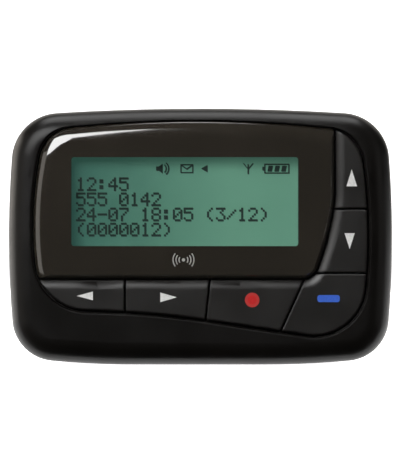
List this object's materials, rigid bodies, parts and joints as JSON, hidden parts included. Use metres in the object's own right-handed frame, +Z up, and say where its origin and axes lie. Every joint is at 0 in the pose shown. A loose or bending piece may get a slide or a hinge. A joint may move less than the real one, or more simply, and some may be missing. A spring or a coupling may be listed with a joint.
{
  "type": "alphanumeric pager",
  "caption": "Belt-worn text pager lying on its long edge: rounded casing, glossy display lens, an L of keys, sliding battery door and a sprung belt clip behind.",
  "frame": {"origin": "on the flat that the pager stands on, in the middle of its width and of the casing's depth", "axes": "+X to the viewer's right along the long side, +Z up, the display faces -Y"},
  "size_m": [0.084, 0.027, 0.0561],
  "materials": {
    "casing_plastic": "fine matt texture, warm black",
    "clip_plastic": "fine matt texture, black",
    "lock_plastic": "satin dark grey",
    "lens_black": "polished black",
    "window_clear": "clear, polished",
    "key_plastic": "satin black",
    "silicone": "translucent grey, dull",
    "foam": "open black foam",
    "tape": "white film tape",
    "dome_steel": "bright",
    "lcd_glass": "clear, pale green",
    "polariser_film": "green-grey film",
    "reflector_film": "teal-green diffuse film",
    "light_guide": "frosted acrylic",
    "led_body": "white",
    "holder_plastic": "off-white",
    "zebra_rubber": "striped, dull",
    "board_green": "green solder mask",
    "chip_black": "moulded, dull",
    "connector_plastic": "ivory",
    "tinned_metal": "tin plate, satin",
    "brass_parts": "machined",
    "antenna_metal": "copper alloy strip",
    "sounder_plastic": "black",
    "motor_steel": "nickel plated",
    "spring_steel": "nickel plated",
    "screw_steel": "dark zinc plate",
    "cell_metal": "nickel plated can",
    "cell_jacket": "printed film, plain blue",
    "label_paper": "plain printed label"
  },
  "bodies": {
    "pager": {"backlight_guide": "light_guide", "backlight_leds": "led_body", "backup_cell": "motor_steel", "backup_cell_clip": "spring_steel", "battery_cell": "cell_metal", "battery_contact_negative": "spring_steel", "battery_contact_positive": "spring_steel", "battery_jacket": "cell_jacket", "battery_spring": "spring_steel", "board_connector": "connector_plastic", "board_spacers": "brass_parts", "case_screws": "screw_steel", "clip_base": "clip_plastic", "clip_pin": "spring_steel", "clip_screws": "screw_steel", "clip_spring": "spring_steel", "display_window": "window_clear", "front_casing": "casing_plastic", "keypad_mat": "silicone", "lcd_front_glass": "lcd_glass", "lcd_front_polariser": "polariser_film", "lcd_gasket": "foam", "lcd_holder": "holder_plastic", "lcd_rear_glass": "lcd_glass", "lcd_reflector": "reflector_film", "lens_adhesive": "tape", "lens_bezel": "lens_black", "lock_retainer": "holder_plastic", "loop_antenna": "antenna_metal", "main_board": "board_green", "main_board_chips": "chip_black", "main_board_screws": "screw_steel", "rear_casing": "casing_plastic", "rear_label": "label_paper", "receiver_board": "board_green", "receiver_chips": "tinned_metal", "receiver_screws": "screw_steel", "receiver_shield": "tinned_metal", "snap_domes": "dome_steel", "sounder": "sounder_plastic", "sounder_gasket": "foam", "sounder_leads": "tinned_metal", "vibrator_boot": "silicone", "vibrator_leads": "tinned_metal", "vibrator_motor": "motor_steel", "zebra_strip": "zebra_rubber"},
    "key_left": {"key_left": "key_plastic"},
    "key_right": {"key_right": "key_plastic"},
    "key_select": {"key_select": "key_plastic"},
    "key_clear": {"key_clear": "key_plastic"},
    "key_up": {"key_up": "key_plastic"},
    "key_down": {"key_down": "key_plastic"},
    "battery_door": {"battery_door": "casing_plastic", "battery_door_pad": "foam"},
    "door_lock": {"door_lock": "lock_plastic", "lock_bolt": "spring_steel"},
    "clip_lever": {"clip_lever": "clip_plastic"},
    "vibrator_weight": {"vibrator_weight": "brass_parts"}
  },
  "joints": [
    {"name": "left_key_press", "type": "slide", "parent": "pager", "child": "key_left", "axis": [0, 1, 0], "range_m": [0, 0.0005], "stiffness_N_per_m": 1000, "deforming": ["keypad_mat", "snap_domes"]},
    {"name": "right_key_press", "type": "slide", "parent": "pager", "child": "key_right", "axis": [0, 1, 0], "range_m": [0, 0.0005], "stiffness_N_per_m": 1000, "deforming": ["keypad_mat", "snap_domes"]},
    {"name": "select_key_press", "type": "slide", "parent": "pager", "child": "key_select", "axis": [0, 1, 0], "range_m": [0, 0.0005], "stiffness_N_per_m": 1000, "deforming": ["keypad_mat", "snap_domes"]},
    {"name": "clear_key_press", "type": "slide", "parent": "pager", "child": "key_clear", "axis": [0, 1, 0], "range_m": [0, 0.0005], "stiffness_N_per_m": 1000, "deforming": ["keypad_mat", "snap_domes"]},
    {"name": "up_key_press", "type": "slide", "parent": "pager", "child": "key_up", "axis": [0, 1, 0], "range_m": [0, 0.0005], "stiffness_N_per_m": 1000, "deforming": ["keypad_mat", "snap_domes"]},
    {"name": "down_key_press", "type": "slide", "parent": "pager", "child": "key_down", "axis": [0, 1, 0], "range_m": [0, 0.0005], "stiffness_N_per_m": 1000, "deforming": ["keypad_mat", "snap_domes"]},
    {"name": "battery_door_slide", "type": "slide", "parent": "pager", "child": "battery_door", "axis": [1, 0, 0], "range_m": [0, 0.056]},
    {"name": "door_lock_slide", "type": "slide", "parent": "pager", "child": "door_lock", "axis": [0, 0, -1], "range_m": [0, 0.0018]},
    {"name": "clip_hinge", "type": "hinge", "parent": "pager", "child": "clip_lever", "pos_m": [0, 0.0132, 0.0445], "axis": [1, 0, 0], "range_deg": [0, 15], "stiffness_Nm_per_rad": 0.1, "springref_deg": -8.59, "deforming": ["clip_spring"]},
    {"name": "vibrator_spin", "type": "hinge", "parent": "pager", "child": "vibrator_weight", "pos_m": [-0.034, 0.0045, 0.0102], "axis": [1, 0, 0], "continuous": true}
  ]
}
